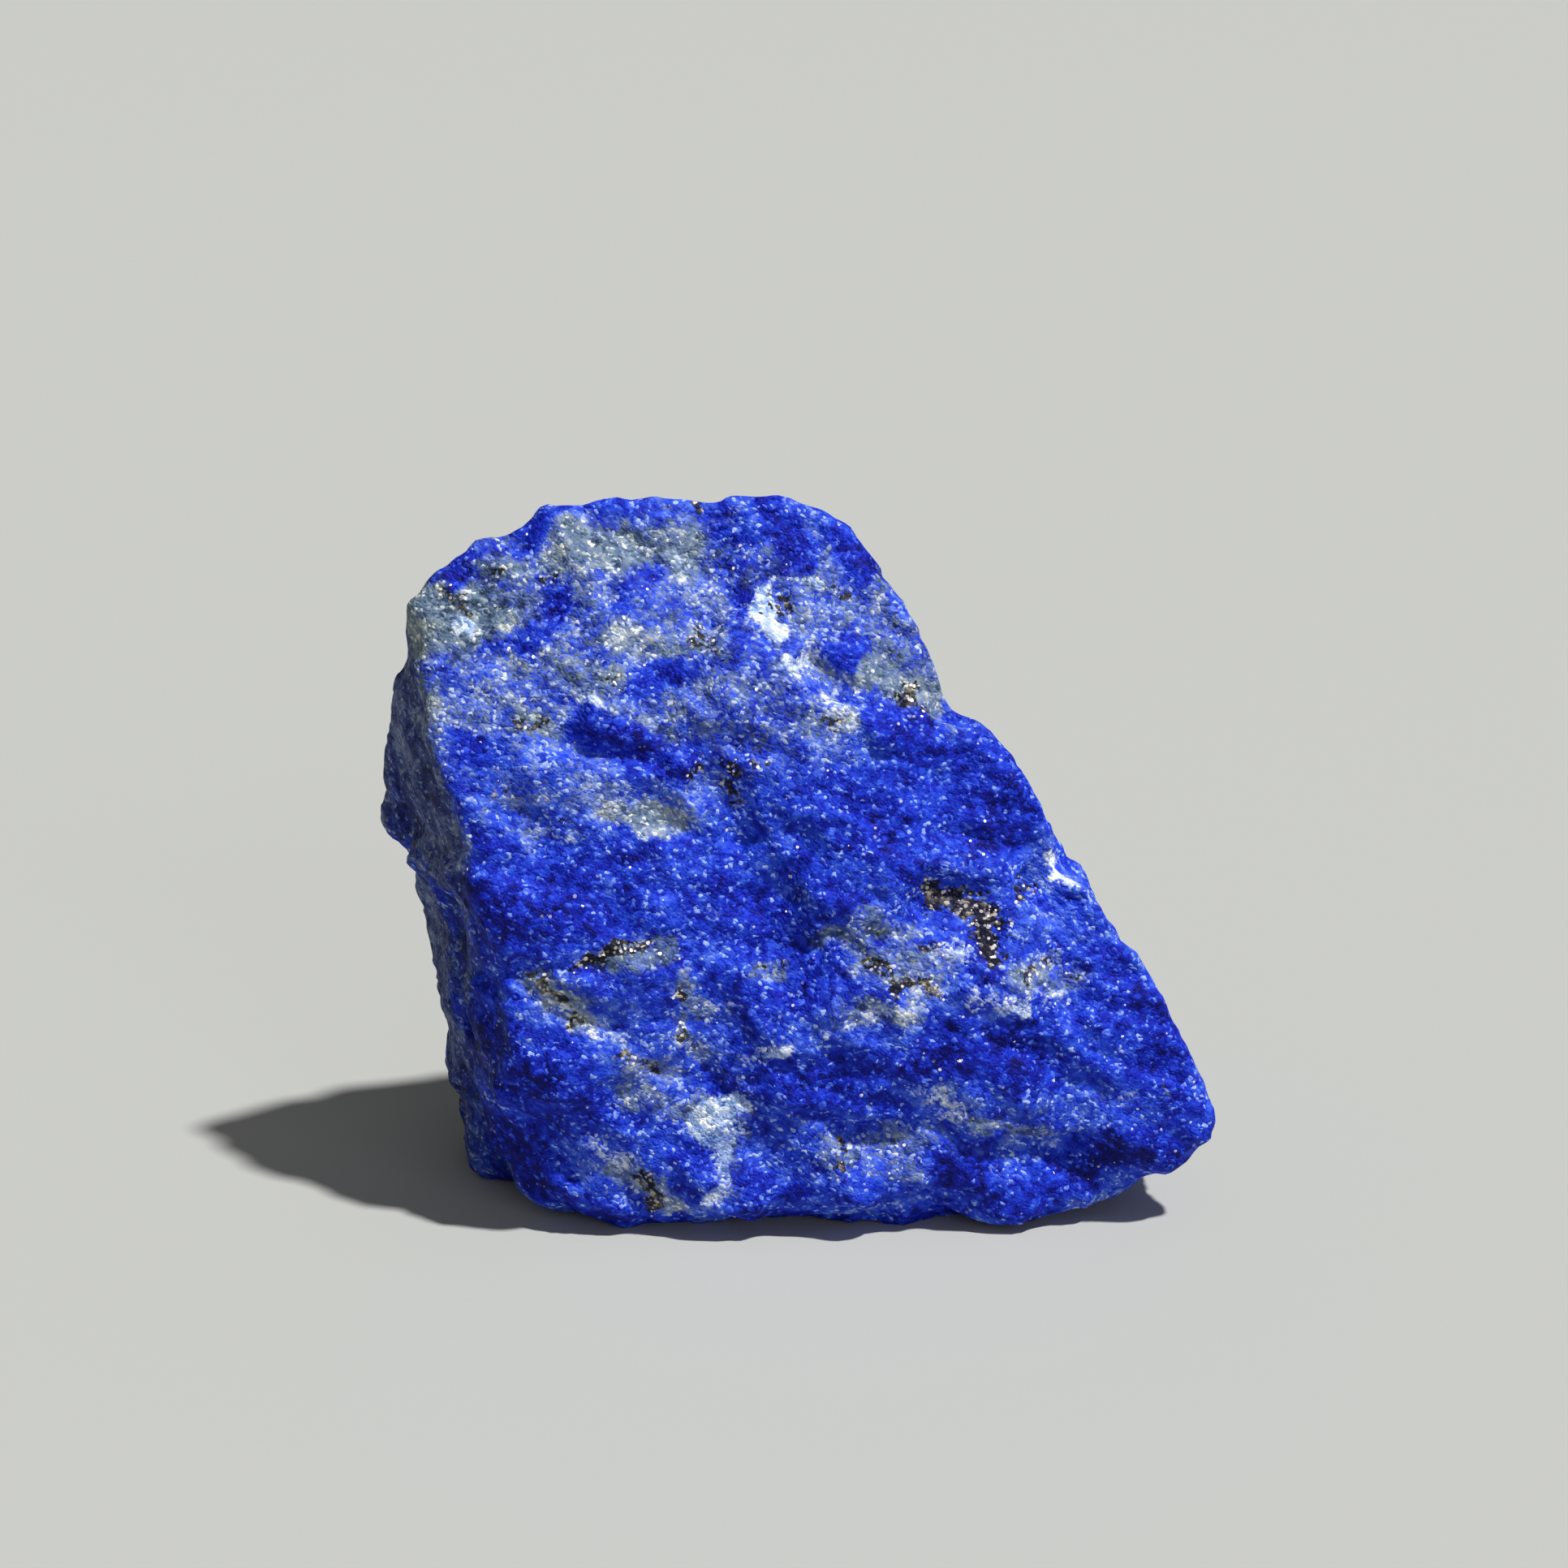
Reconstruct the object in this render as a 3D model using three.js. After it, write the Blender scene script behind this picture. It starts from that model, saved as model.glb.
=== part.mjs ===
// A hand-sized piece of rough lapis lazuli, broken on every side and standing on its flattest break.
// Millimetres, +Z up, +X to the right of the broad front face, which looks along -Y.
// Places on the stone are given from a point on the floor under its front foot, and the stone is
// then moved so that the origin is under its middle, at the level it rests on.

import * as THREE from "three";
import { ConvexHull } from "three/addons/math/ConvexHull.js";
import { ImprovedNoise } from "three/addons/math/ImprovedNoise.js";
import { mergeVertices } from "three/addons/utils/BufferGeometryUtils.js";

// Where the main breaks meet, before the surface is roughened. The lowest lie below the floor, because
// the break that the stone stands on takes them off level.
const CORNERS = {
  footing: [[-10, 0.8, -0.4], [-4, 0.4, -0.4], [8.6, 0, -0.4], [11, 0.4, -0.4]],
  frontFoot: [[-11.9, -1.6, 1.5], [-10, -2.5, 1], [-1, -2.6, 1.1], [8.6, -2, 0.4]],
  frontEdge: [[-11, -2.7, 8.4], [-12.2, -2.2, 14.6], [-14.3, -0.9, 20.5], [-15, 0.4, 24.2]],
  frontBelly: [[-3, -2.7, 9.4], [5, -2.5, 8], [12, -1.9, 6.2]],
  frontBreak: [[-4, -0.9, 20.9], [3, 0.1, 21.6]],
  leftShoulder: [[-14.7, 2.2, 27.1], [-15.4, 2.6, 25], [-16.8, 3.2, 21.6]],
  crestLeft: [[-13.4, 2.4, 28.4], [-10.4, 3, 29.4], [-4.2, 3.7, 29.6]],
  crestRight: [[-2.6, 3.7, 30.2], [0.8, 3.8, 29.5], [2.3, 3.6, 28.6]],
  rightEdge: [[6.2, 2, 22], [9.2, 0.8, 19.5], [10.7, 0.4, 17.4], [13.8, -0.8, 10.9]],
  rightPoint: [[16.5, -1.2, 7], [17.1, -1.2, 5.2], [16.9, -1, 3.9]],
  rightFoot: [[15.8, -0.9, 3.2], [13.6, -0.6, 1.1], [12.6, -0.8, -0.1], [10.8, -2, -0.3]],
  rightHeel: [[12.8, 6, -0.4], [15.8, 6, 4.6]],
  leftEdge: [[-17.1, 4, 19.3], [-17.1, 4.6, 16.6], [-15.2, 7, 4.7], [-14.9, 7.2, 1.6]],
  leftFoot: [[-14.6, 7.2, -0.4], [-9.7, 13.2, -0.4]],
  backLeft: [[-12.4, 5, 25.6], [-14.2, 6.4, 19], [-13.4, 10, 9]],
  back: [[0, 14.8, -0.4], [1, 14.4, 8], [-2, 11.9, 18.5], [-3, 7.4, 27.4], [0.4, 7, 27.2]],
  backRight: [[9, 12.8, -0.4], [12.2, 10.8, 4], [10.4, 9.4, 8.8], [5.8, 7.8, 17.4]],
};
// A point well inside, from which every part of the surface can be seen.
const HEART = new THREE.Vector3(-1, 5, 11.5);
// How keen the edges between breaks are: higher is keener.
const KEENNESS = 60;
// Half the stone's length, depth and height, roughly: the ball of faces is stretched to this first.
const PROPORTIONS = new THREE.Vector3(17, 9, 15);
// Faces are about 0.8 mm across.
const SPLITS = 21;
const RELAX_PASSES = 50;

// The stone breaks more easily along one direction, so its ridges run down to the right.
const GRAIN = new THREE.Vector3(0.86, 0.12, -0.5).normalize();

// Small flat plates left by the break: size, stretch along the grain, tilt (mm per mm), step (mm).
const PLATES = [
  { size: 4.6, stretch: 1.8, tilt: 0.1, step: 0.2, seed: 24 },
  { size: 2.2, stretch: 1.6, tilt: 0.12, step: 0.09, seed: 11 },
];
// How sharply one plate gives way to the next.
const PLATE_KEENNESS = 16;
// Gentle unevenness between them: wavelength and height.
const LUMPS = [
  { size: 7.5, height: 0.3, seed: 5 },
  { size: 2.4, height: 0.1, seed: 23 },
];

// Ledges: right of the line as it is drawn, the stone drops by "drop" and comes back out over "run".
const LEDGES = {
  longCrease: { from: [-9.3, -0.5, 21.4], to: [-5.6, -0.6, 20.2], drop: 1.4, run: 1.2 },
  blockEnd: { from: [-5.9, -0.8, 17.8], to: [-5.4, -0.7, 19.6], drop: 0.7, run: 1.8 },
  midCrease: { from: [-3.5, -0.4, 19.6], to: [-1.6, -1, 17.2], drop: 0.4, run: 1.8 },
  topGroove: { from: [-4, 1.9, 25.3], to: [-4.8, 3.6, 28.5], drop: 0.6, run: 2 },
  veinStep: { from: [3.2, -1.7, 13], to: [5.4, -0.3, 14.8], drop: 0.45, run: 1.5 },
  rightShelf: { from: [5.5, -0.9, 15.2], to: [11.3, -0.3, 13.8], drop: 0.35, run: 1.8 },
  lowShelf: { from: [2.8, -2.2, 5.2], to: [12.2, -1.6, 3], drop: 0.9, run: 1.6 },
  cornerCrease: { from: [-8.9, -2.8, 5.8], to: [-6.1, -2.3, 7.2], drop: 0.6, run: 1.3 },
  leftUndercut: { from: [-17.6, 9, 14.6], to: [-13.2, 0.5, 14.2], drop: 1.7, run: 5.5 },
};

// Distance between the kinks in a ledge's line, the width of its wall, and how far off its line,
// square to the surface, it is still felt.
const LEDGE_KINK = 1.7;
const LEDGE_WALL = 0.7;
const LEDGE_REACH = 3;
// Part of a ledge's length over which each end fades.
const LEDGE_FADE = 0.2;

// Chips out of the stone (depth above zero) and lumps left on it (below zero).
const CHIPS = {
  rightNotchHigh: { at: [6.6, 1.4, 22.1], radius: [1.1, 2.4, 0.8], depth: 1.3 },
  rightNotchLow: { at: [11.2, 0.2, 14.9], radius: [1.1, 2.4, 0.9], depth: 1.5 },
  rightScoop: { at: [12.3, 0, 13.2], radius: [1.8, 2.4, 2.2], depth: 0.6 },
  rightLumpHigh: { at: [8.9, 0.9, 19.2], radius: [2, 1.4, 2.2], depth: -0.6 },
  rightLumpLow: { at: [13.6, -0.6, 10.2], radius: [1.2, 1.2, 1.2], depth: -0.35 },
  footGroove: { at: [-12.9, 1.8, 2.6], radius: [1.6, 1.5, 3.4], depth: 1.4 },
  frontLeftChamfer: { at: [-10.6, -2.3, 3.2], radius: [1.4, 1.4, 2.6], depth: 0.7 },
  blueHollow: { at: [6.5, -0.1, 17.8], radius: [2.8, 1.6, 2], depth: 0.5 },
  midPit: { at: [0.1, -1.4, 15.2], radius: [0.9, 1.1, 0.6], depth: 0.4 },
  creaseHollow: { at: [-2.9, -0.4, 18.5], radius: [0.9, 1.5, 1], depth: 0.6 },
  pyriteHollow: { at: [6.6, -0.6, 13.8], radius: [1.6, 1.5, 0.9], depth: 0.6 },
  pyriteShelf: { at: [7.6, -1.6, 10.8], radius: [2.2, 1.4, 0.9], depth: -0.45 },
  litBlock: { at: [-8, -1.1, 19.2], radius: [2.4, 1.5, 1.1], depth: -0.35 },
  frontLump: { at: [-1.6, -2.3, 8.5], radius: [1.4, 1.2, 0.8], depth: -0.35 },
  cornerLump: { at: [-9, -2.9, 8.4], radius: [1.8, 1.2, 1.1], depth: -0.3 },
  footRidgeMid: { at: [2.6, -2.4, 2.8], radius: [1.6, 1.2, 0.8], depth: -0.45 },
  footRidgeRight: { at: [9.1, -1.8, 1.1], radius: [1.8, 1.4, 1.1], depth: -0.8 },
  footRecess: { at: [12.4, -1.2, 2], radius: [1.3, 1.6, 1.2], depth: 0.9 },
  footGap: { at: [4.4, -2, 0.2], radius: [3.4, 2, 1.1], depth: 1.2 },
  backScoop: { at: [-3, 14, 9], radius: [5, 3, 4], depth: 1.3 },
  backChip: { at: [6, 11.2, 14], radius: [3, 2.6, 3], depth: 0.8 },
};

const noise = new ImprovedNoise();

function random(x, y, z, seed) {
  const wave = Math.sin(x * 127.1 + y * 311.7 + z * 74.7 + seed * 53.9) * 43758.5453;
  return wave - Math.floor(wave);
}

// The planes of the main breaks, as seen from the heart.
function breakPlanes() {
  const points = Object.values(CORNERS).flat().map((xyz) => new THREE.Vector3(...xyz));
  const hull = new ConvexHull().setFromPoints(points);
  const planes = [];
  for (const face of hull.faces) {
    const repeated = planes.some((plane) => plane.normal.dot(face.normal) > 0.9998);
    if (!repeated) {
      planes.push({ normal: face.normal.clone(), depth: face.constant - face.normal.dot(HEART) });
    }
  }
  return planes;
}

const planes = breakPlanes();

// Distance from the heart to the unroughened surface, its edges a little rounded.
function formRadius(direction) {
  let sum = 0;
  for (const plane of planes) {
    const facing = direction.dot(plane.normal) / plane.depth;
    if (facing > 0) {
      sum += facing ** KEENNESS;
    }
  }
  return sum ** (-1 / KEENNESS);
}

function formPoint(direction) {
  return direction.clone().multiplyScalar(formRadius(direction)).add(HEART);
}

function formNormal(direction) {
  const normal = new THREE.Vector3();
  for (const plane of planes) {
    const facing = direction.dot(plane.normal) / plane.depth;
    if (facing > 0) {
      normal.addScaledVector(plane.normal, (facing ** KEENNESS) / plane.depth);
    }
  }
  return normal.normalize();
}

// Axes along the grain, across it, and square to both.
const across = new THREE.Vector3(0, 1, 0).cross(GRAIN).normalize();
const through = GRAIN.clone().cross(across);

function plateHeight(point, plate) {
  const u = point.dot(GRAIN) / (plate.size * plate.stretch);
  const v = point.dot(across) / plate.size;
  const w = point.dot(through) / plate.size;
  let weights = 0;
  let height = 0;
  for (let i = Math.floor(u) - 1; i <= Math.floor(u) + 1; i++) {
    for (let j = Math.floor(v) - 1; j <= Math.floor(v) + 1; j++) {
      for (let k = Math.floor(w) - 1; k <= Math.floor(w) + 1; k++) {
        const du = u - i - random(i, j, k, plate.seed);
        const dv = v - j - random(i, j, k, plate.seed + 1);
        const dw = w - k - random(i, j, k, plate.seed + 2);
        const lean = random(i, j, k, plate.seed + 3) - 0.5;
        const slope = random(i, j, k, plate.seed + 4) - 0.5;
        const dip = random(i, j, k, plate.seed + 5) - 0.5;
        const rise = random(i, j, k, plate.seed + 6) - 0.5;
        const tilted = plate.tilt * plate.size * (lean * du * plate.stretch + slope * dv + dip * dw);
        const weight = Math.exp(-PLATE_KEENNESS * (du * du + dv * dv + dw * dw));
        height += weight * 2 * (tilted + plate.step * rise);
        weights += weight;
      }
    }
  }
  return height / weights;
}

function lumpHeight(point, lump) {
  const x = point.x / lump.size + lump.seed;
  const y = point.y / lump.size;
  const z = point.z / lump.size;
  return 2 * lump.height * noise.noise(x, y, z);
}

// A ledge falls away at once past its line and then eases back to the surface.
function ledgeHeight(point, normal, ledge) {
  const from = new THREE.Vector3(...ledge.from);
  const line = new THREE.Vector3(...ledge.to).sub(from);
  const length = line.length();
  line.normalize();
  const offset = point.clone().sub(from);
  const along = offset.dot(line) / length;
  const past = line.clone().cross(normal).normalize();
  const kink = noise.noise(point.x / LEDGE_KINK, point.y / LEDGE_KINK, point.z / LEDGE_KINK);
  const down = offset.dot(past) + kink;
  const off = offset.dot(normal) / LEDGE_REACH;
  const start = THREE.MathUtils.smoothstep(along, -LEDGE_FADE, 0);
  const end = THREE.MathUtils.smoothstep(along, 1, 1 + LEDGE_FADE);
  const wall = THREE.MathUtils.smoothstep(down, -LEDGE_WALL / 2, LEDGE_WALL / 2);
  const ease = Math.exp(-Math.max(0, down) / ledge.run);
  return -ledge.drop * (start - end) * wall * ease * Math.exp(-off * off);
}

function chipHeight(point, chip) {
  const dx = (point.x - chip.at[0]) / chip.radius[0];
  const dy = (point.y - chip.at[1]) / chip.radius[1];
  const dz = (point.z - chip.at[2]) / chip.radius[2];
  return -chip.depth * Math.exp(-(dx * dx + dy * dy + dz * dz));
}

// Where a break is seen this obliquely from the heart, its roughness is spread no further.
const SHALLOWEST = 0.5;

// How far the roughened surface stands off the form, square to it.
function roughness(point, normal) {
  let height = 0;
  for (const plate of PLATES) {
    height += plateHeight(point, plate);
  }
  for (const lump of LUMPS) {
    height += lumpHeight(point, lump);
  }
  for (const ledge of Object.values(LEDGES)) {
    height += ledgeHeight(point, normal, ledge);
  }
  for (const chip of Object.values(CHIPS)) {
    height += chipHeight(point, chip);
  }
  return height;
}

// A ball of even triangles, given as directions from the heart.
function ballOfDirections() {
  const ball = new THREE.IcosahedronGeometry(1, SPLITS);
  ball.deleteAttribute("normal");
  ball.deleteAttribute("uv");
  return mergeVertices(ball, 1e-5);
}

function neighboursOf(geometry) {
  const neighbours = Array.from({ length: geometry.attributes.position.count }, () => new Set());
  const index = geometry.index.array;
  for (let i = 0; i < index.length; i += 3) {
    for (let k = 0; k < 3; k++) {
      neighbours[index[i + k]].add(index[i + (k + 1) % 3]);
      neighbours[index[i + (k + 1) % 3]].add(index[i + k]);
    }
  }
  return neighbours.map((set) => [...set]);
}

// Slides the directions about until the triangles are even on the stone rather than on the ball.
function relax(directions, neighbours) {
  for (let pass = 0; pass < RELAX_PASSES; pass++) {
    const points = directions.map(formPoint);
    directions.forEach((direction, i) => {
      const middle = new THREE.Vector3();
      for (const j of neighbours[i]) {
        middle.add(points[j]);
      }
      direction.copy(middle).divideScalar(neighbours[i].length).sub(HEART).normalize();
    });
  }
}

function stonePoint(direction) {
  const normal = formNormal(direction);
  const standOff = roughness(formPoint(direction), normal) / Math.max(SHALLOWEST, normal.dot(direction));
  let radius = formRadius(direction) + standOff;
  // The break that it stands on is level with the floor.
  const floor = direction.z < 0 ? HEART.z / -direction.z : Infinity;
  const onFloor = radius > floor;
  radius = Math.min(radius, floor);
  const point = direction.clone().multiplyScalar(radius).add(HEART);
  if (onFloor) {
    point.z = 0;
  }
  return point;
}

function stoneGeometry() {
  const geometry = ballOfDirections();
  const position = geometry.attributes.position;
  const directions = [];
  for (let i = 0; i < position.count; i++) {
    directions.push(new THREE.Vector3().fromBufferAttribute(position, i).multiply(PROPORTIONS).normalize());
  }
  relax(directions, neighboursOf(geometry));
  directions.forEach((direction, i) => position.setXYZ(i, ...stonePoint(direction)));
  geometry.computeVertexNormals();
  return geometry;
}

const lapis = new THREE.MeshStandardMaterial({ color: 0x1c23b4, roughness: 0.55, metalness: 0 });
const stone = new THREE.Mesh(stoneGeometry(), lapis);
stone.name = "lapis_stone";
stone.geometry.computeBoundingBox();
stone.geometry.boundingBox.getCenter(stone.position).negate();
stone.position.z = 0;

const specimen = new THREE.Group();
specimen.name = "lapis_lazuli_specimen";
specimen.add(stone);

export default specimen;
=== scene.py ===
import math

import bmesh
import bpy
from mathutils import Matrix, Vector, noise
from mathutils.bvhtree import BVHTree


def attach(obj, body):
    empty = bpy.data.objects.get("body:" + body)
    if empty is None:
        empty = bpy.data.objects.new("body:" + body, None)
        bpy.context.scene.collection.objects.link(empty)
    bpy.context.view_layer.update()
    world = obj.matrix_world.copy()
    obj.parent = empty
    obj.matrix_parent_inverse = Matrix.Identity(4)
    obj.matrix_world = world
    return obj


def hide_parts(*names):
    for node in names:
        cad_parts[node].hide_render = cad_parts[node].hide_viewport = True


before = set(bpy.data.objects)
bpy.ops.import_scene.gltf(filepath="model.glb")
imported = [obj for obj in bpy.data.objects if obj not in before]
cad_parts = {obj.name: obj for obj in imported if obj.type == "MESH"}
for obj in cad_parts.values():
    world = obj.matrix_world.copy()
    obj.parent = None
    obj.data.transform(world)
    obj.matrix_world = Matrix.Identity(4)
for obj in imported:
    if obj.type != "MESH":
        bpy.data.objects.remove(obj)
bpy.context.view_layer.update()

# ---------------------------------------------------------------------------
# The table top, the light and the eye.
# A plain pale matt surface under one high lamp to the right, with a wide soft
# lamp overhead, a weak one low in front, and a dim room around.
# ---------------------------------------------------------------------------

MM = 0.001

scene = bpy.context.scene
scene.view_settings.view_transform = "Standard"

eye = bpy.data.objects.new("eye", bpy.data.cameras.new("eye"))
scene.collection.objects.link(eye)
eye.location = Vector((-0.5, -136.39, 61.1)) * MM
LOOKS_DOWN = 18
eye.rotation_euler = (math.radians(90 - LOOKS_DOWN), 0, 0)
eye.data.sensor_width = 36
eye.data.lens = 80
eye.data.clip_start = 5 * MM
scene.camera = eye


def srgb(hex_colour):
    """An sRGB hex colour as the linear red, green, blue and alpha that sockets take."""
    linear = []
    for place in (1, 3, 5):
        value = int(hex_colour[place:place + 2], 16) / 255
        linear.append(value / 12.92 if value <= 0.04045 else ((value + 0.055) / 1.055) ** 2.4)
    return (*linear, 1.0)


def add_node(tree, kind, inputs=None, **settings):
    """Adds a node with its settings. Each input takes a value, a socket, or a node's first output."""
    node = tree.nodes.new(kind)
    for name, value in settings.items():
        setattr(node, name, value)
    for name, value in (inputs or {}).items():
        if isinstance(value, bpy.types.Node):
            value = value.outputs[0]
        if isinstance(value, bpy.types.NodeSocket):
            tree.links.new(value, node.inputs[name])
        else:
            node.inputs[name].default_value = value
    return node


TABLE_WIDTH = 4000 * MM
table_form = bmesh.new()
bmesh.ops.create_grid(table_form, x_segments=1, y_segments=1, size=TABLE_WIDTH / 2)
table = bpy.data.objects.new("table_top", bpy.data.meshes.new("table_top"))
table_form.to_mesh(table.data)
table_form.free()
scene.collection.objects.link(table)

# Matt painted board: no gloss, so that the stone's shadow has a plain ground.
painted_board = bpy.data.materials.new("matt_painted_board")
painted_board.use_nodes = True
board_face = painted_board.node_tree.nodes["Principled BSDF"]
board_face.inputs["Base Color"].default_value = srgb("#A8AAA8")
board_face.inputs["Roughness"].default_value = 0.9
board_face.inputs["Specular IOR Level"].default_value = 0.2
table.data.materials.append(painted_board)

# Where each lamp shines from, its energy, how wide it is (degrees) and its colour.
LAMPS = {
    "key": ((0.376, -0.2415, 0.894), 4.7, 3, (1.0, 0.985, 0.96)),
    "overhead": ((0.0, 0.0, 1.0), 0.32, 130, (1.0, 1.0, 1.0)),
    "fill": ((0.5, -0.85, 0.2), 0.65, 40, (1.0, 1.0, 1.0)),
}
for name, (shines_from, energy, width, colour) in LAMPS.items():
    lamp = bpy.data.objects.new(name + "_lamp", bpy.data.lights.new(name + "_lamp", "SUN"))
    scene.collection.objects.link(lamp)
    lamp.rotation_euler = Vector(shines_from).to_track_quat("Z", "Y").to_euler()
    lamp.data.energy = energy
    lamp.data.angle = math.radians(width)
    lamp.data.color = colour

room = bpy.data.worlds.new("room")
room.use_nodes = True
room.node_tree.nodes["Background"].inputs["Color"].default_value = (1.0, 0.99, 0.94, 1.0)
room.node_tree.nodes["Background"].inputs["Strength"].default_value = 0.065
scene.world = room

# ---------------------------------------------------------------------------
# The stone's form.
# One piece of rough lapis lazuli, broken with a hammer on every side. The break
# follows the rock's sugary grain: splintery plates, scallops, then single grains.
# ---------------------------------------------------------------------------

cad_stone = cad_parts["lapis_stone"]
form = bmesh.new()
form.from_mesh(cad_stone.data)
bmesh.ops.remove_doubles(form, verts=form.verts, dist=0.01 * MM)
bmesh.ops.subdivide_edges(form, edges=form.edges, cuts=3, use_grid_fill=True)
SMOOTHINGS = 3
for smoothing in range(SMOOTHINGS):
    bmesh.ops.smooth_vert(form, verts=form.verts, factor=0.5, use_axis_x=True, use_axis_y=True, use_axis_z=True)
form.normal_update()

# One seed for the whole stone, so that it breaks the same way each time.
SEED = 12
noise.seed_set(SEED)

# The rock splits along this line, so that its splinters run down to the right.
GRAIN = Vector((0.86, 0.12, -0.5)).normalized()

# Plates left by the break, coarse to fine: size, stretch along the grain, tilt (mm per mm), step (mm).
PLATES = ((1.7, 1.8, 0.18, 0.08), (0.8, 1.5, 0.16, 0.03))
PLATE_KEENNESS = 14
# How far apart neighbouring plates draw their lean and their rise in the noise.
LEAN_SPREAD, RISE_SPREAD = 31.7, 17.3
# Scallops with keen ridges between them: size, stretch along the grain, depth (mm). As much rock
# stands above their mean height as is missing below it.
SCALLOPS = ((1.6, 2.4, 0.13), (0.7, 1.6, 0.03))
SCALLOP_MEAN = 0.2
# Rough grains and hollows: wavelength and height (mm).
UNEVENNESS = ((1.1, 0.03), (0.4, 0.02))


def squeezed(place, size, stretch):
    """The place, shortened along the grain and in units of the size."""
    return (place - GRAIN * place.dot(GRAIN) * (1 - 1 / stretch)) / size


def plate_height(place, tilt, step):
    """The height of plates that lean and rise each in its own way, with soft creases between them."""
    height = 0.0
    weights = 0.0
    for distance, middle in zip(*noise.voronoi(place)):
        weight = math.exp(-PLATE_KEENNESS * distance * distance)
        lean = 2 * noise.noise_vector(middle * LEAN_SPREAD)
        rise = 2 * noise.noise(middle * RISE_SPREAD)
        height += weight * (tilt * lean.dot(place - middle) + step * rise)
        weights += weight
    return height / weights


def break_height(place):
    """How far the break stands out of the CAD stone at this place, in mm."""
    height = 0.0
    for size, stretch, tilt, step in PLATES:
        height += plate_height(squeezed(place, size, stretch), tilt * size, step)
    for size, stretch, depth in SCALLOPS:
        nearest = noise.voronoi(squeezed(place, size, stretch))[0][0]
        height += depth * (nearest * nearest - SCALLOP_MEAN)
    for size, rise in UNEVENNESS:
        height += rise * noise.noise(place / size)
    return height


facings = [vert.normal.copy() for vert in form.verts]
moves = [vert.normal * break_height(vert.co / MM) * MM for vert in form.verts]
for vert, move in zip(form.verts, moves):
    vert.co += move
    vert.co.z = max(vert.co.z, 0.0)
form.normal_update()

stone = bpy.data.objects.new("rough_stone", bpy.data.meshes.new("rough_stone"))
form.to_mesh(stone.data)
scene.collection.objects.link(stone)
stone.data.shade_smooth()
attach(stone, "root")
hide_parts("lapis_stone")
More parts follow.
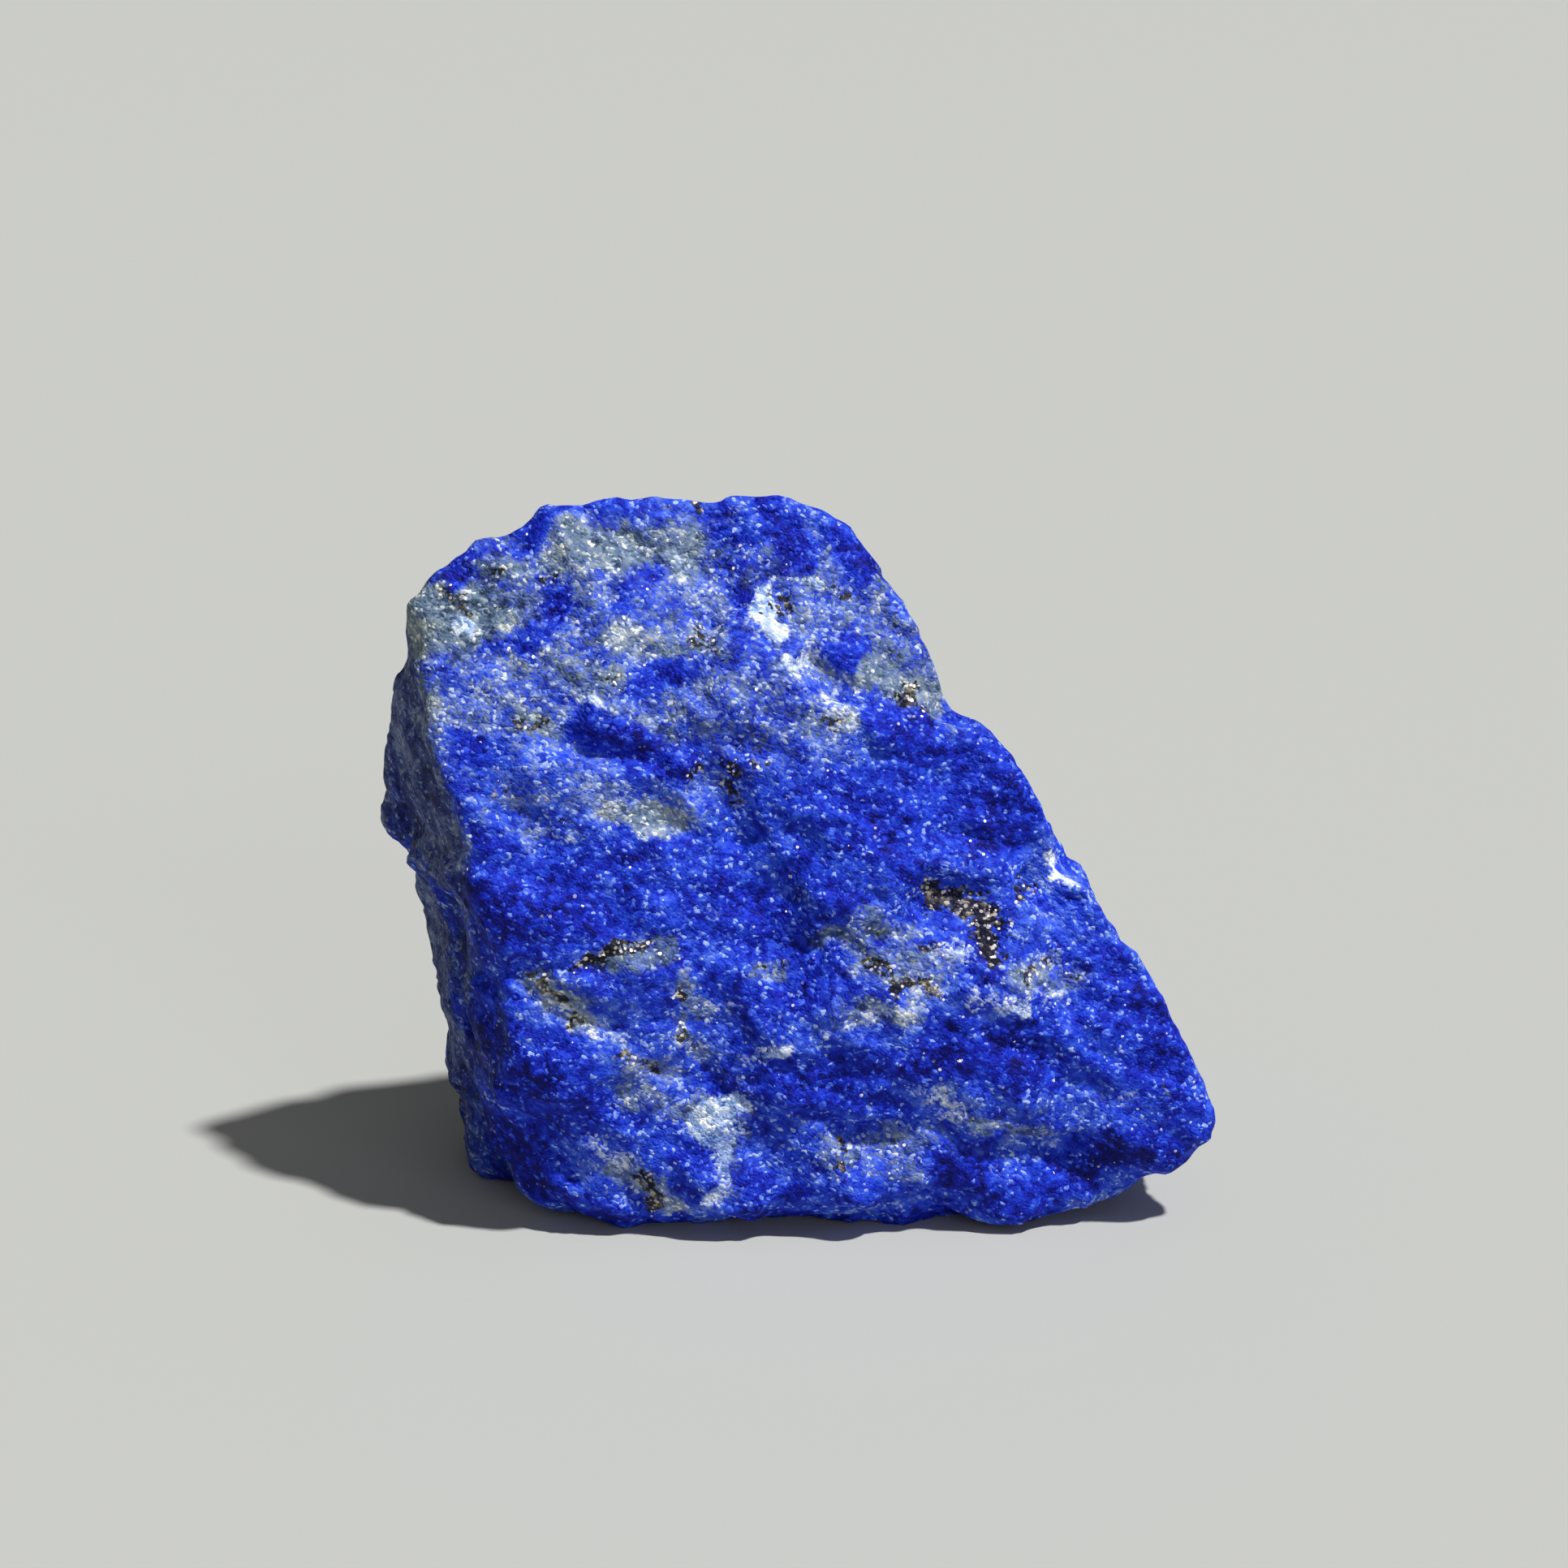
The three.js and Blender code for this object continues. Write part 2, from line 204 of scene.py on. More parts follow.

# ---------------------------------------------------------------------------
# Where the minerals lie.
# Lazurite is the blue, pure and deep in some places, and painted deeper as shade where the stone turns
# down and away from the lamp low on the front. Diopside lies in it as grey haze, calcite as white clouds
# and veins, pyrite as nests of small dark grains.
# ---------------------------------------------------------------------------

# Each streak is seen on the front from one place (across, up) to another, in mm, and has a half-width
# in mm and a strength.
STREAKS = {
    "diopside": (
        (-14.6, 24.9, -12.1, 25.2, 1.4, 1.3), (-12.1, 26.9, -8.3, 27.3, 0.8, 0.9),
        (-8.6, 27.9, -4.2, 27.3, 1.0, 1.1), (-11.5, 25.8, -10.2, 25.5, 0.7, 0.8),
        (-7.3, 24.6, -4.8, 24.0, 0.7, 0.9), (-7.6, 23.4, -6.7, 22.9, 0.5, 0.9),
        (-4.1, 24.5, -2.9, 24.1, 0.7, 0.8), (-0.6, 23.5, 1.3, 22.8, 0.7, 0.6),
        (2.6, 22.8, 5.5, 21.5, 0.8, 1.1), (0.6, 21.3, 2.5, 21.0, 0.5, 0.7),
        (-10.8, 22.1, -10.1, 21.1, 0.6, 0.9), (-14.3, 22.3, -12.7, 21.5, 0.7, 0.8),
        (-8.9, 23.3, -7.3, 22.0, 0.5, 0.8), (-6.0, 21.3, -5.3, 20.5, 0.5, 0.8),
        (-3.9, 28.2, -3.2, 27.3, 0.5, 0.7), (-12.7, 24.1, -8.2, 23.3, 1.1, 0.65),
        (3.2, 25.9, 3.5, 25.4, 0.5, 0.7), (0.6, 26.7, 3.5, 23.7, 1.0, 0.6),
        (-4.2, 25.1, -0.6, 22.3, 1.3, 0.4), (-3.5, 28.5, -1.6, 29.1, 0.5, 0.5),
        (-7.6, 18.0, -4.5, 17.5, 0.5, 1), (-11.4, 18.7, -10.2, 16.8, 0.5, 0.5),
        (1.0, 12.9, 2.6, 12.8, 0.5, 0.9), (2.5, 13.6, 4.5, 12.9, 0.5, 0.7),
        (2.6, 12.0, 5.5, 11.4, 0.9, 0.75), (1.9, 10.0, 4.8, 10.0, 0.6, 0.7),
        (8.7, 11.3, 11.3, 10.8, 0.7, 0.8), (-1.6, 11.6, -0.5, 11.3, 0.4, 0.7),
        (-9.9, 11.2, -8.3, 9.6, 0.7, 0.9), (-7.8, 12.3, -5.4, 12.6, 0.7, 1.1),
        (-4.5, 11.1, -3.2, 9.8, 0.5, 0.8), (-4.3, 9.3, -4.4, 8.4, 0.3, 0.8),
        (-7.1, 6.4, -3.9, 5.5, 0.7, 0.8), (-7.2, 3.1, -4.9, 1.6, 0.8, 0.8), (1.0, 4.2, 2.6, 3.6, 0.5, 0.7),
        (3.3, 4.4, 6.9, 3.5, 0.7, 0.65), (12.1, 6.3, 15.0, 5.1, 0.7, 0.55), (7.1, 5.1, 10.1, 4.3, 0.4, 0.7),
        (-6.5, 7.5, -5.2, 7.4, 0.6, 0.7), (-3.9, 8.0, -1.9, 6.5, 0.7, 0.6), (-2.6, 6.0, -2.6, 2.0, 0.6, 0.5),
        (2.9, 3.2, 5.2, 2.8, 0.6, 0.5), (-14.0, 26.4, 0.6, 25.6, 2.3, 0.55),
        (-2.6, 27.0, 1.9, 27.9, 1.0, 0.45), (-13.3, 22.3, 6.4, 20.9, 2.5, 0.5),
        (-10.8, 19.4, -0.6, 17.9, 1.3, 0.38), (2.6, 24.9, 5.5, 22.0, 1.7, 0.55),
    ),
    "calcite": (
        (-1.3, 25.5, -0.6, 24.5, 0.5, 1.6), (-2.4, 25.4, 0.3, 23.1, 0.3, 0.6),
        (-5.1, 28.0, -4.3, 26.8, 0.3, 0.5), (0.6, 26.1, 1.6, 25.4, 0.3, 0.8),
        (-5.0, 26.9, -3.2, 25.4, 0.2, 0.5), (1.0, 24.8, 2.6, 23.7, 0.2, 0.6),
        (-4.1, 22.9, 0.6, 22.3, 0.4, 0.3), (-2.4, 29.1, -1.6, 29.2, 0.3, 0.8),
        (-8.6, 22.6, -7.6, 22.0, 0.3, 0.9), (-13.2, 24.9, -12.8, 24.7, 0.3, 1),
        (-5.9, 21.2, -5.7, 21.0, 0.3, 0.7), (-7.5, 24.8, -6.0, 24.5, 0.3, 0.5),
        (-0.6, 23.4, 1.0, 23.7, 0.3, 0.8), (1.3, 22.0, 1.4, 21.6, 0.3, 0.7),
        (2.2, 21.0, 3.2, 20.8, 0.3, 0.6), (-7.0, 27.3, -4.8, 27.7, 0.4, 0.35),
        (-6.2, 17.3, -4.9, 17.2, 0.2, 1), (-10.3, 17.1, -8.9, 16.9, 0.3, 0.7),
        (-3.8, 4.8, -2.9, 5.9, 0.7, 1.6), (-3.1, 6.4, -1.6, 6.7, 0.4, 0.6), (-2.8, 4.6, -3.2, 2.0, 0.5, 0.9),
        (-2.1, 7.8, -0.2, 8.3, 0.3, 0.9), (1.0, 9.2, 1.2, 8.9, 0.2, 1.2), (-7.9, 4.6, -7.0, 3.5, 0.5, 0.8),
        (-8.3, 9.3, -6.9, 8.9, 0.3, 0.6), (5.8, 12.4, 6.9, 11.9, 0.5, 0.7),
        (10.0, 15.3, 10.5, 14.4, 0.3, 1.2), (4.1, 14.2, 5.5, 14.6, 0.1, 1),
        (-3.8, 14.0, -3.1, 13.8, 0.3, 0.7), (5.4, 15.6, 6.1, 15.2, 0.2, 0.6), (7.5, 3.0, 8.7, 2.5, 0.3, 0.8),
        (9.3, 2.4, 10.2, 0.7, 0.2, 0.7), (14.3, 6.5, 15.0, 5.9, 0.3, 0.8), (5.0, 6.5, 6.5, 5.3, 0.6, 0.6),
        (-3.4, 10.4, -2.4, 9.8, 0.3, 0.7), (2.4, 4.0, 3.0, 3.4, 0.2, 0.7),
        (7.1, 10.2, 10.3, 10.3, 0.4, 0.65), (8.9, 9.9, 9.1, 9.5, 0.2, 1.2), (12.9, 5.9, 13.2, 5.9, 0.3, 0.7),
        (10.0, 11.8, 11.0, 11.1, 0.3, 0.6), (1.9, 10.0, 4.8, 10.1, 0.5, 0.45),
    ),
    "pyrite": (
        (-13.8, 25.9, -13.0, 25.6, 0.4, 0.8), (-4.1, 24.4, -3.2, 24.1, 0.3, 0.7),
        (-10.8, 21.2, -10.1, 21.3, 0.3, 1), (-9.3, 26.4, -9.0, 26.2, 0.2, 1),
        (1.3, 25.7, 1.6, 25.4, 0.3, 0.8), (4.0, 22.1, 5.0, 21.2, 0.4, 1.1), (0.9, 21.4, 1.4, 21.2, 0.2, 0.8),
        (-0.8, 25.4, -0.3, 25.4, 0.2, 0.9), (-4.3, 19.3, -4.0, 19.6, 0.3, 0.9),
        (-2.6, 19.5, -2.3, 18.2, 0.3, 1), (-1.8, 19.9, -1.4, 19.8, 0.3, 0.7),
        (-9.4, 18.1, -9.1, 17.8, 0.2, 0.9), (-11.9, 18.6, -11.7, 18.6, 0.2, 0.8),
        (-3.8, 28.9, -3.6, 28.7, 0.3, 0.8), (-6.0, 29.4, -5.9, 29.3, 0.2, 0.8),
        (-7.1, 23.1, -6.8, 23.2, 0.3, 0.8), (-12.1, 26.4, -11.7, 26.9, 0.2, 0.7),
        (5.3, 14.2, 5.9, 13.6, 0.4, 1.2), (6.1, 13.9, 6.7, 13.5, 0.5, 1.3), (6.8, 13.5, 7.7, 13.3, 0.5, 1.3),
        (7.3, 13.0, 7.8, 12.1, 0.4, 1.2), (6.5, 14.4, 7.5, 14.3, 0.2, 0.9), (8.9, 14.4, 9.8, 13.9, 0.3, 1),
        (4.2, 11.1, 5.2, 10.7, 0.4, 1.1), (2.7, 12.1, 3.6, 11.5, 0.3, 0.9),
        (9.3, 11.4, 10.0, 11.3, 0.3, 0.9), (11.0, 11.1, 11.1, 11.0, 0.2, 0.8),
        (-8.4, 12.0, -7.5, 12.6, 0.4, 1.3), (-7.5, 12.6, -5.8, 12.8, 0.3, 1.1),
        (-10.0, 11.4, -9.3, 10.5, 0.3, 0.9), (-9.0, 9.8, -8.4, 9.6, 0.2, 0.9),
        (-4.5, 10.8, -4.2, 10.5, 0.2, 1), (-4.3, 9.3, -4.4, 8.6, 0.2, 0.9), (-6.6, 8.0, -5.8, 7.5, 0.3, 0.9),
        (-6.1, 3.0, -5.9, 1.3, 0.3, 1.1), (1.5, 4.4, 1.6, 3.6, 0.2, 1.1), (-0.0, 15.1, 0.3, 14.9, 0.2, 0.9),
        (-5.3, 5.2, -5.0, 4.9, 0.2, 0.8), (5.5, 12.5, 5.1, 12.3, 0.2, 0.8),
        (-1.3, 11.5, -0.8, 11.6, 0.2, 0.7),
    ),
    "pure_and_painted_shade": (
        (-10.6, 28.3, -9.9, 28.7, 0.5, 0.8), (-13.9, 26.9, -13.1, 27.4, 0.6, 0.7),
        (-1.3, 29.0, 0.2, 27.0, 0.7, 1.1), (1.6, 28.2, 2.6, 26.7, 0.7, 0.9),
        (-12.1, 24.3, -10.3, 24.1, 0.5, 1), (-9.8, 25.0, -8.9, 25.7, 0.5, 1),
        (-6.7, 26.0, -5.3, 26.9, 0.5, 0.7), (-6.0, 22.7, -4.9, 23.0, 0.6, 1.1),
        (-2.4, 25.7, -1.6, 25.1, 0.4, 0.8), (1.3, 24.0, 2.2, 23.3, 0.3, 0.9),
        (-8.6, 21.4, -4.8, 19.7, 0.6, 1.2), (-13.0, 20.7, -12.0, 20.3, 0.5, 0.8),
        (4.5, 20.8, 6.7, 18.7, 0.7, 0.7), (-1.0, 18.2, 0.9, 16.0, 0.8, 0.9), (2.2, 16.6, 4.5, 15.5, 0.5, 1),
        (-10.2, 14.9, -6.7, 13.9, 0.7, 0.8), (-3.0, 11.2, -2.3, 10.3, 0.5, 1),
        (-1.3, 10.4, 0.3, 10.5, 0.5, 0.9), (5.5, 9.3, 10.4, 8.7, 0.5, 0.8), (0.6, 7.0, 4.2, 7.4, 0.5, 1),
        (-9.6, 7.4, -8.1, 6.2, 0.5, 0.7), (-1.6, 2.3, 3.6, 1.8, 0.4, 0.9), (7.7, 2.2, 8.5, 1.3, 0.4, 1),
        (10.6, 2.6, 12.5, 3.4, 0.6, 0.8), (13.4, 10.2, 14.5, 9.3, 0.4, 1),
        (10.5, 13.8, 10.9, 13.4, 0.3, 0.9), (-3.5, 28.9, -0.6, 28.2, 0.7, 0.6),
        (7.1, 19.0, 9.4, 17.0, 0.8, 0.5), (3.2, 6.0, 4.1, 5.4, 0.4, 0.9), (13.1, 4.3, 15.4, 4.6, 0.5, 0.5),
        (-1.3, 15.9, 8.0, 19.6, 2.3, 0.65), (-10.8, 15.0, 0.6, 13.4, 2.0, 0.45),
        (-2.6, 6.9, 11.4, 8.1, 1.3, 0.7), (11.7, 11.0, 15.0, 7.9, 1.2, 0.7),
        # The streaks low down, at the foot, the lower left and the lower right, are painted shade: they make
        # the blue deeper where the stone turns down and away from the lamp.
        (-10.3, 7.8, -4.6, 4.0, 1.5, 0.4), (-12.4, 14.1, -12.0, 4.0, 1.5, 0.9),
        (-11.5, 3.4, -8.7, 0.9, 0.9, 0.9), (-10.6, 7.3, -9.8, 2.6, 0.8, 0.8),
        (-9.0, 8.7, -7.6, 4.6, 0.9, 0.7), (-9.2, 0.8, -4.9, 0.7, 0.5, 1.2), (-2.3, 1.3, 2.7, 0.2, 0.5, 1.2),
        (3.3, 0.5, 6.6, 0.9, 0.4, 1), (11.6, 2.1, 13.8, 3.3, 0.5, 1.3), (6.2, 3.1, 9.9, 1.2, 1.0, 1.3),
        (12.0, 8.1, 15.4, 4.2, 1.7, 0.7), (4.1, 20.5, 8.7, 17.4, 1.5, 1), (10.6, 2.2, 12.8, 3.4, 1.0, 1.1),
    ),
}
# How far a streak goes into the rock (mm), and how ragged its outline is (wavelength and reach in mm).
STREAK_DEPTH = 2.5
RAGGED = ((1.3, 0.55), (0.5, 0.4))
# A streak is looked for from this far in front (mm), and this much lower if it misses the stone's edge.
FROM_IN_FRONT = 40
LOWER = (0.0, 0.4, 0.8, 1.6)
# Past this, a streak has faded to nothing.
FADED = 2.5

front = BVHTree.FromBMesh(form)


def on_front(across, up):
    """The place in mm on the stone's front that is this far across and up."""
    for lower in LOWER:
        hit = front.ray_cast(Vector((across, -FROM_IN_FRONT, up - lower)) * MM, Vector((0, 1, 0)))[0]
        if hit:
            return hit / MM
    return Vector((across, 0, up))


def streak_amount(place, streaks):
    """The strongest streak at this place, which is even along its middle and fades at its outline."""
    amount = 0.0
    for start, end, half_width, strength in streaks:
        line = end - start
        part = min(max((place - start).dot(line) / max(line.length_squared, 0.01), 0), 1)
        off = place - start - line * part
        reach = (off.x ** 2 + off.z ** 2) / half_width ** 2 + (off.y / STREAK_DEPTH) ** 2
        if reach < FADED:
            amount = max(amount, strength * math.exp(-reach * reach))
    return amount


# Behind the front the minerals lie where they happen to, in rich parts of the rock. For each mineral:
# how much it follows the rich parts, how much it goes its own way, how scarce it is, and its seed.
HIDDEN = {
    "diopside": (1.7, 1.4, 0.22, 1), "calcite": (1.3, 2.0, 0.62, 2),
    "pyrite": (1.3, 2.4, 0.85, 3), "pure_and_painted_shade": (-1.5, 1.4, 0.1, 4),
}
# From where to where the hidden minerals set in, front to back (mm), and the size (mm) and stretch of
# the rich parts and of each mineral's own patches.
FRONT_ENDS, BACK_BEGINS = -2, 2
RICH_PARTS = (5, 1.6)
OWN_PATCHES = (1.7, 1.8)


def grown(value, none_at, full_at):
    """How far the value has come from none to full, as 0 to 1."""
    return min(max((value - none_at) / (full_at - none_at), 0), 1)


def hidden_amount(place, mineral):
    """How much of a mineral happens to lie at this place, none of it on the front."""
    richness, own_way, scarcity, seed = HIDDEN[mineral]
    rich = noise.noise(squeezed(place, *RICH_PARTS))
    own = noise.noise(squeezed(place, *OWN_PATCHES) + Vector((3, 7 * seed, 9)))
    return grown(place.y, FRONT_ENDS, BACK_BEGINS) * max(0.0, richness * rich + own_way * own - scarcity)


places = []
for vert in form.verts:
    place = vert.co / MM
    ragged = Vector()
    for wavelength, reach in RAGGED:
        ragged += reach * noise.noise_vector(place / wavelength)
    places.append((place, place + ragged))

for mineral, rows in STREAKS.items():
    streaks = []
    for across, up, to_across, to_up, half_width, strength in rows:
        streaks.append((on_front(across, up), on_front(to_across, to_up), half_width, strength))
    amounts = stone.data.attributes.new(mineral, "FLOAT", "POINT")
    for index, (place, drifted) in enumerate(places):
        amounts.data[index].value = max(streak_amount(drifted, streaks), hidden_amount(drifted, mineral))

# Painted shade: a slate-grey film over the leftward faces, the side turned from the key lamp, standing for
# how that side looks in shade. It thins out towards the foot (mm), where that side is darker, and as the
# face turns to the front (share of the facing that is leftward).
PAINTED_SHADE_NONE_BELOW, PAINTED_SHADE_FULL_ABOVE = -12, 10
PAINTED_SHADE_NO_FACING, PAINTED_SHADE_FULL_FACING = 0.4, 0.8
painted_shade_film = stone.data.attributes.new("painted_shade_film", "FLOAT", "POINT")
for index, (place, drifted) in enumerate(places):
    leftward = grown(-facings[index].x, PAINTED_SHADE_NO_FACING, PAINTED_SHADE_FULL_FACING)
    painted_shade_film.data[index].value = leftward * grown(drifted.z, PAINTED_SHADE_NONE_BELOW, PAINTED_SHADE_FULL_ABOVE)
form.free()

# ---------------------------------------------------------------------------
# Lapis lazuli, freshly broken and never polished. The break follows the grains,
# which are about a quarter of a millimetre, so that the face is like sugar: matt
# as a whole, with every grain rounded by the light and a few with painted glints in it.
# ---------------------------------------------------------------------------

# Widths in mm. The finest crystals of the rock are under 0.05 mm, too fine to show, so the crystals and
# the specks with painted glints are drawn this coarse.
GRAIN_WIDTH = 0.27
CRYSTAL_WIDTH = 0.12
SPECK_WIDTH = 0.16
# Clouds of paler grains, the mottle in them, what makes the zones' edges ragged, and what bends the grains.
CLOUD_WIDTH, MOTTLE_WIDTH, RAGGED_WIDTH, BEND_WIDTH = 2.6, 0.5, 0.9, 0.3
BEND = 0.2

rock = bpy.data.materials.new("rough_lapis_lazuli")
rock.use_nodes = True
tree = rock.node_tree
surface = tree.nodes["Principled BSDF"]

coordinates = add_node(tree, "ShaderNodeTexCoord")
place = add_node(
    tree, "ShaderNodeVectorMath", {0: coordinates.outputs["Object"], "Scale": 1 / MM}, operation="SCALE"
)
# Everything in the rock is drawn out a little along its grain, down to the right.
drawn_out = add_node(
    tree, "ShaderNodeMapping", {"Vector": place, "Rotation": (0, math.radians(30), 0), "Scale": (1.25, 1, 1)},
    vector_type="TEXTURE",
)
bent = add_node(tree, "ShaderNodeTexNoise", {"Vector": place, "Scale": 1 / BEND_WIDTH, "Detail": 2.0})
shaken = add_node(
    tree, "ShaderNodeVectorMath", {0: bent.outputs["Color"], 1: (BEND, BEND, BEND), 2: drawn_out},
    operation="MULTIPLY_ADD",
)
zones = {}
for name in ("pure_and_painted_shade", "diopside", "calcite", "pyrite", "painted_shade_film"):
    zones[name] = add_node(tree, "ShaderNodeAttribute", attribute_name=name).outputs["Fac"]

clouds = add_node(
    tree, "ShaderNodeTexNoise", {"Vector": drawn_out, "Scale": 1 / CLOUD_WIDTH, "Detail": 5.0, "Roughness": 0.6}
)
mottle = add_node(
    tree, "ShaderNodeTexNoise",
    {"Vector": drawn_out, "Scale": 1 / MOTTLE_WIDTH, "Detail": 4.0, "Roughness": 0.65},
)
ragged_edge = add_node(
    tree, "ShaderNodeTexNoise", {"Vector": place, "Scale": 1 / RAGGED_WIDTH, "Detail": 5.0, "Roughness": 0.65}
)
grains = add_node(tree, "ShaderNodeTexVoronoi", {"Vector": shaken, "Scale": 1 / GRAIN_WIDTH})
crystals = add_node(tree, "ShaderNodeTexVoronoi", {"Vector": shaken, "Scale": 1 / CRYSTAL_WIDTH})
specks = add_node(tree, "ShaderNodeTexVoronoi", {"Vector": place, "Scale": 1 / SPECK_WIDTH})
grain_lots = add_node(tree, "ShaderNodeSeparateColor", {0: grains.outputs["Color"]})
crystal_lots = add_node(tree, "ShaderNodeSeparateColor", {0: crystals.outputs["Color"]})
speck_lots = add_node(tree, "ShaderNodeSeparateColor", {0: specks.outputs["Color"]})

# How pale each crystal is: by the cloud and the mottle it is in, and by its grain. About one crystal in
# ten is much paler, which the eye sees as frost, and where the rock is pure, or painted shade lies, they are
# all deeper.
paleness = add_node(tree, "ShaderNodeMix", {0: 0.5, 2: clouds, 3: mottle})
paleness = add_node(tree, "ShaderNodeMix", {0: 0.1, 2: paleness, 3: grain_lots.outputs[0]})
frost = add_node(tree, "ShaderNodeMath", {0: crystal_lots.outputs[0], 1: 8.0}, operation="POWER")
paleness = add_node(tree, "ShaderNodeMath", {0: frost, 1: 0.23, 2: paleness}, operation="MULTIPLY_ADD")
paleness = add_node(tree, "ShaderNodeMath", {0: zones["pure_and_painted_shade"], 1: -0.09, 2: paleness}, operation="MULTIPLY_ADD")

# Each mineral's colours, by how pale the crystal is.
TINTS = {
    # Lazurite: deep ultramarine where it is pure and where shade is painted, periwinkle where white grains are
    # mixed in.
    "lazurite": ((0.34, "#040860"), (0.43, "#0C1EA6"), (0.52, "#1C3ECA"), (0.61, "#4466D4"), (0.72, "#98AEEA")),
    # Diopside: grey-green, and blue-grey where it is thin.
    "diopside": ((0.34, "#182430"), (0.43, "#445868"), (0.52, "#6C808E"), (0.6, "#96A09C"), (0.72, "#D8DAD0")),
    # Calcite: pale blue, to white where it is thick.
    "calcite": ((0.34, "#4E6EB8"), (0.44, "#8CA8DC"), (0.54, "#C8D6EA"), (0.64, "#F6F8F8")),
    # Pyrite: painted reflection, dark because most of its small metal grains mirror something dark, and that
    # dark is drawn into their colour.
    "pyrite": ((0.42, "#08080E"), (0.53, "#201E1E"), (0.62, "#605A4A"), (0.7, "#B8AC90")),
    # Painted shade film: slate grey over the blue, on the side turned from the lamp.
    "painted_shade_film": ((0.36, "#0E162C"), (0.5, "#343F56"), (0.64, "#7A848E")),
}
tints = {}
for name, stops in TINTS.items():
    tints[name] = add_node(tree, "ShaderNodeValToRGB", {0: paleness})
    elements = tints[name].color_ramp.elements
    while len(elements) < len(stops):
        elements.new(1.0)
    for element, (at, colour) in zip(elements, stops):
        element.position = at
        element.color = srgb(colour)

# Each crystal is one mineral or another, by chance, and the chance is its zone's strength. For each
# mineral: the lots drawn and how much they matter, how ragged its zones are, from where to where its
# share grows, and how much it hides at most.
CHANCES = {
    "painted_shade_film": (crystal_lots.outputs[1], 0.5, 0.8, -0.4, 0.8, 0.8),
    "diopside": (crystal_lots.outputs[1], 0.5, 1.3, -0.1, 0.85, 0.9),
    "calcite": (crystal_lots.outputs[2], 0.6, 1.6, 0.05, 0.75, 0.95),
    "pyrite": (speck_lots.outputs[0], 0.9, 1.4, 0.05, 0.35, 0.95),
}
centred = add_node(tree, "ShaderNodeMath", {0: ragged_edge, 1: 0.5}, operation="SUBTRACT")
cleared = add_node(tree, "ShaderNodeMath", {0: zones["pure_and_painted_shade"], 1: -0.5}, operation="MULTIPLY")
colour = tints["lazurite"].outputs[0]
for name, (lots, weight, raggedness, start, full, hidden) in CHANCES.items():
    zone = add_node(tree, "ShaderNodeMath", {0: zones[name], 1: cleared}, operation="ADD")
    uneven = add_node(tree, "ShaderNodeMath", {0: centred, 1: raggedness, 2: zone}, operation="MULTIPLY_ADD")
    drawn = add_node(tree, "ShaderNodeMath", {0: lots, 1: -weight, 2: uneven}, operation="MULTIPLY_ADD")
    share = add_node(
        tree, "ShaderNodeMapRange", {0: drawn, 1: start, 2: full, 3: 0.0, 4: hidden},
        interpolation_type="SMOOTHSTEP",
    )
    colour = add_node(tree, "ShaderNodeMix", {0: share, 6: colour, 7: tints[name]}, data_type="RGBA").outputs[2]

# Painted glints: crystals painted near white, standing for the lamp's reflection in faces turned to it: a
# few anywhere, more in the haze, and most and largest in the nests of pyrite. Most painted glints are faint.
chance = add_node(tree, "ShaderNodeMath", {0: zones["diopside"], 1: 0.015, 2: 0.02}, operation="MULTIPLY_ADD")
chance = add_node(tree, "ShaderNodeMath", {0: zones["pyrite"], 1: 0.45, 2: chance}, operation="MULTIPLY_ADD")
luck = add_node(tree, "ShaderNodeMapRange", {0: speck_lots.outputs[1], 1: 0.0, 2: chance, 3: 1.0, 4: 0.0})
strength = add_node(tree, "ShaderNodeMath", {0: luck, 1: 2.0}, operation="POWER")
size = add_node(tree, "ShaderNodeMath", {0: speck_lots.outputs[2], 1: 0.35, 2: 0.18}, operation="MULTIPLY_ADD")
size = add_node(tree, "ShaderNodeMath", {0: zones["pyrite"], 1: 0.1, 2: size}, operation="MULTIPLY_ADD")
inside = add_node(tree, "ShaderNodeMath", {0: specks.outputs["Distance"], 1: size}, operation="LESS_THAN")
small_painted_glint = add_node(tree, "ShaderNodeMath", {0: strength, 1: inside}, operation="MULTIPLY")
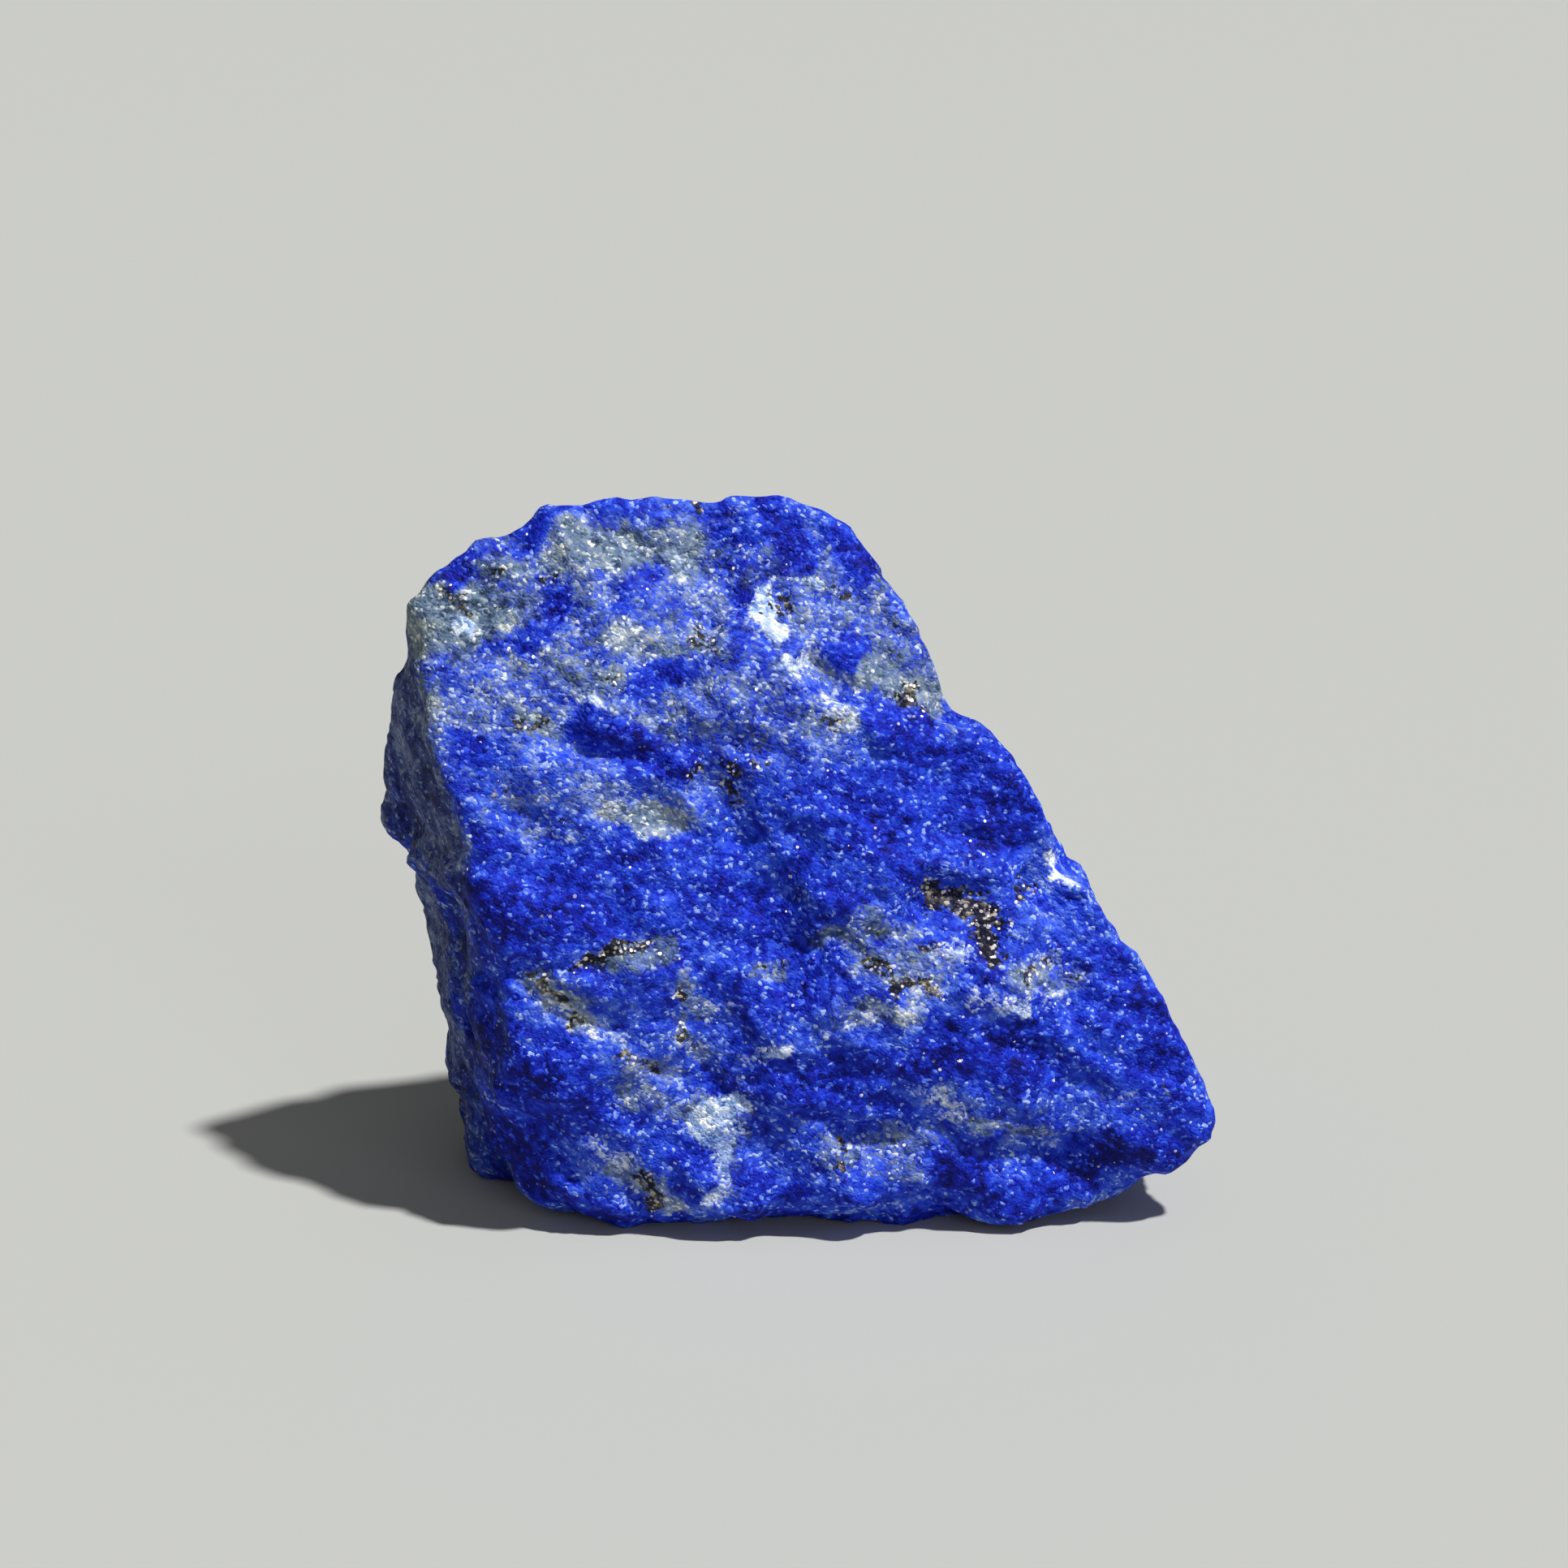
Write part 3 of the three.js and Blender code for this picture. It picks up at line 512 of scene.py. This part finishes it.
# One grain in a thousand, and one in 25 in the nests, is a whole crystal with a painted glint all over.
rare = add_node(tree, "ShaderNodeMath", {0: zones["pyrite"], 1: 0.04, 2: 0.001}, operation="MULTIPLY_ADD")
whole = add_node(tree, "ShaderNodeMath", {0: grain_lots.outputs[1], 1: rare}, operation="LESS_THAN")
edge = add_node(
    tree, "ShaderNodeMath", {0: crystal_lots.outputs[1], 1: 0.35, 2: grains.outputs["Distance"]},
    operation="MULTIPLY_ADD",
)
within = add_node(tree, "ShaderNodeMath", {0: edge, 1: 0.5}, operation="LESS_THAN")
big_painted_glint = add_node(tree, "ShaderNodeMath", {0: whole, 1: within}, operation="MULTIPLY")
painted_glint = add_node(tree, "ShaderNodeMath", {0: small_painted_glint, 1: big_painted_glint}, operation="MAXIMUM")
painted_glint_colour = add_node(
    tree, "ShaderNodeMix", {0: crystal_lots.outputs[0], 6: srgb("#FFF4EC"), 7: srgb("#B8B6C4")},
    data_type="RGBA",
).outputs[2]
colour = add_node(tree, "ShaderNodeMix", {0: painted_glint, 6: colour, 7: painted_glint_colour}, data_type="RGBA").outputs[2]

# Rounded grains, with hollows between them (heights in mm).
relief = add_node(tree, "ShaderNodeBump", {"Height": mottle, "Distance": 0.04 * MM})
for cells, rise in ((grains, 0.03), (crystals, 0.05)):
    relief = add_node(
        tree, "ShaderNodeBump", {"Height": cells.outputs["Distance"], "Distance": rise * MM, "Normal": relief},
        invert=True,
    )
# Each grain and each crystal in it is broken along a face that leans its own way.
LEAN = 0.3
for cells in (grains, crystals):
    way = add_node(
        tree, "ShaderNodeVectorMath", {0: cells.outputs["Color"], 1: (0.5, 0.5, 0.5)}, operation="SUBTRACT"
    )
    relief = add_node(
        tree, "ShaderNodeVectorMath", {0: way, 1: (LEAN, LEAN, LEAN), 2: relief}, operation="MULTIPLY_ADD"
    )
# A crystal with a painted glint also has its normal turned to the lamp.
TURNED = 1.5
relief = add_node(
    tree, "ShaderNodeVectorMath", {0: painted_glint, 1: TURNED * Vector(LAMPS["key"][0]), 2: relief},
    operation="MULTIPLY_ADD",
)
relief = add_node(tree, "ShaderNodeVectorMath", {0: relief}, operation="NORMALIZE")

tree.links.new(colour, surface.inputs["Base Color"])
tree.links.new(relief.outputs[0], surface.inputs["Normal"])
surface.inputs["Roughness"].default_value = 0.6
surface.inputs["IOR"].default_value = 1.5
surface.inputs["Specular IOR Level"].default_value = 0.12
stone.data.materials.append(rock)
